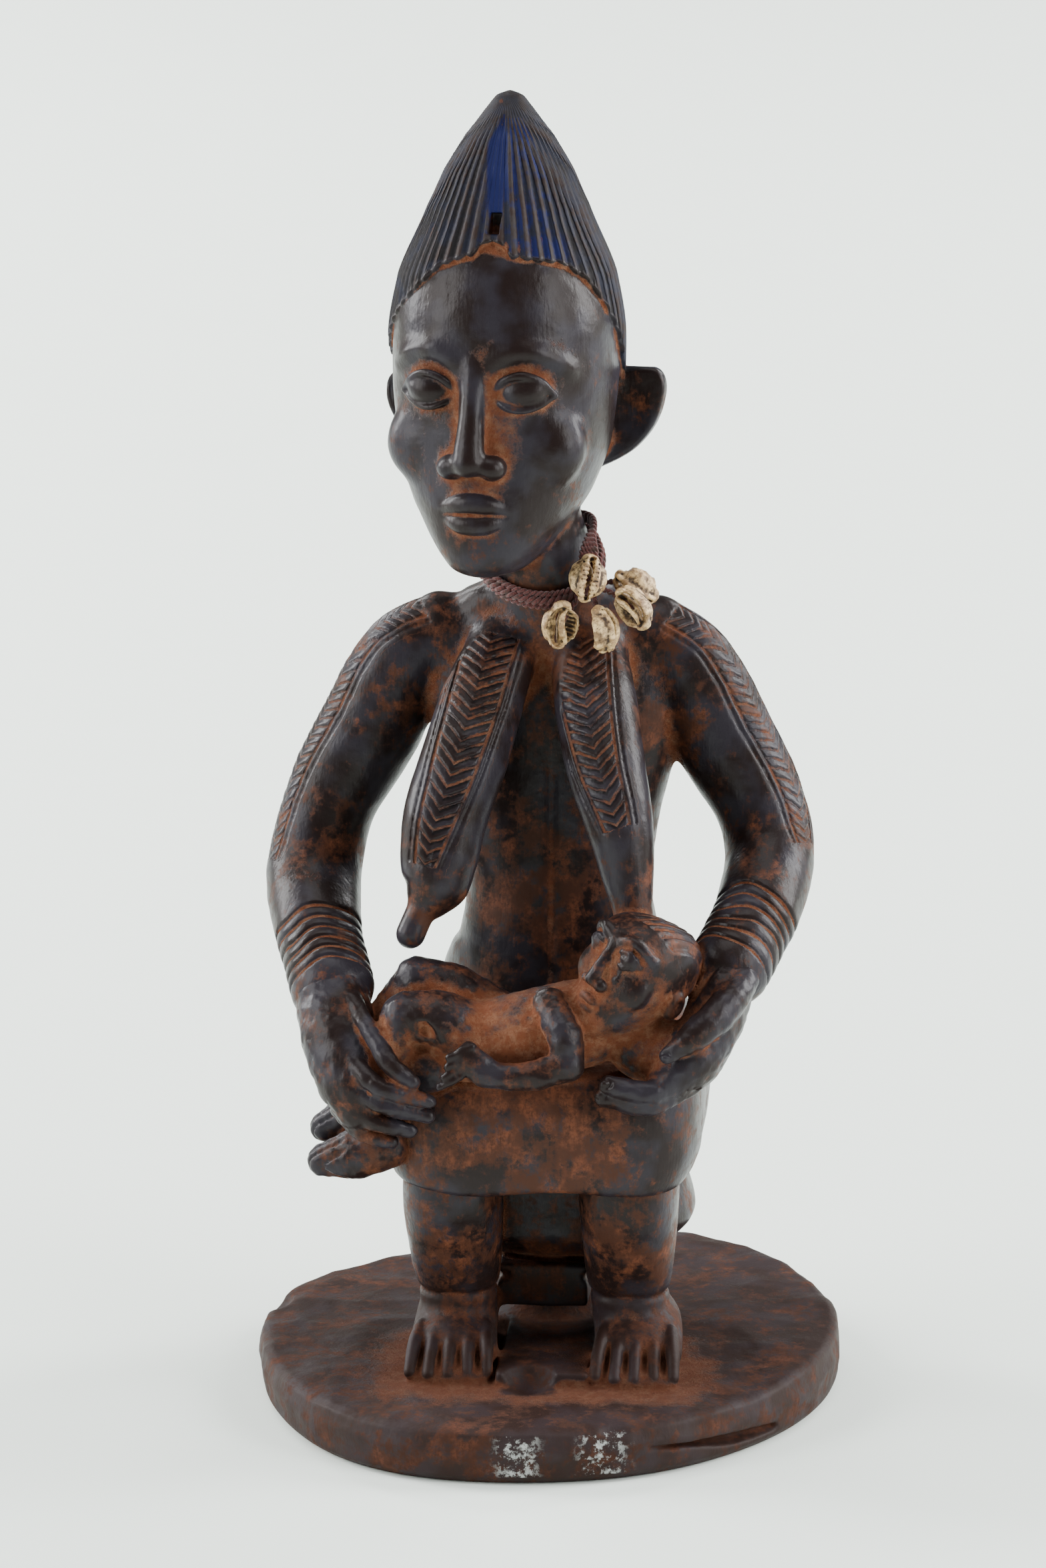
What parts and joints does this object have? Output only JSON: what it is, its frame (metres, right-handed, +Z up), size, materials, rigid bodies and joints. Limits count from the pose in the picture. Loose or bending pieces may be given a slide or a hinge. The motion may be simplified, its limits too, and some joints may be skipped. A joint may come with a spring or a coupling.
{
  "type": "mother and child figure",
  "caption": "Seated mother holding a child across her lap, carved with her stool and round base from one block of dark wood, with a tall pointed fluted coiffure and a cord of five cowrie shells round her neck.",
  "frame": {"origin": "middle of the underside of the base", "axes": "+Z up from the underside to the tip of the coiffure, the mother's knees and feet point along -Y, +X on the viewer's right"},
  "size_m": [0.192, 0.212, 0.42],
  "materials": {
    "wood": "dark glossy patina over carved wood",
    "cord": "matt twisted fibre",
    "shell": "worn satin shell"
  },
  "bodies": {
    "root": {"carved_figure": "wood", "neck_cord": "cord", "cowrie_top": "shell", "cowrie_lower_left": "shell", "cowrie_lower_middle": "shell", "cowrie_right_inner": "shell", "cowrie_right_outer": "shell"}
  },
  "joints": []
}
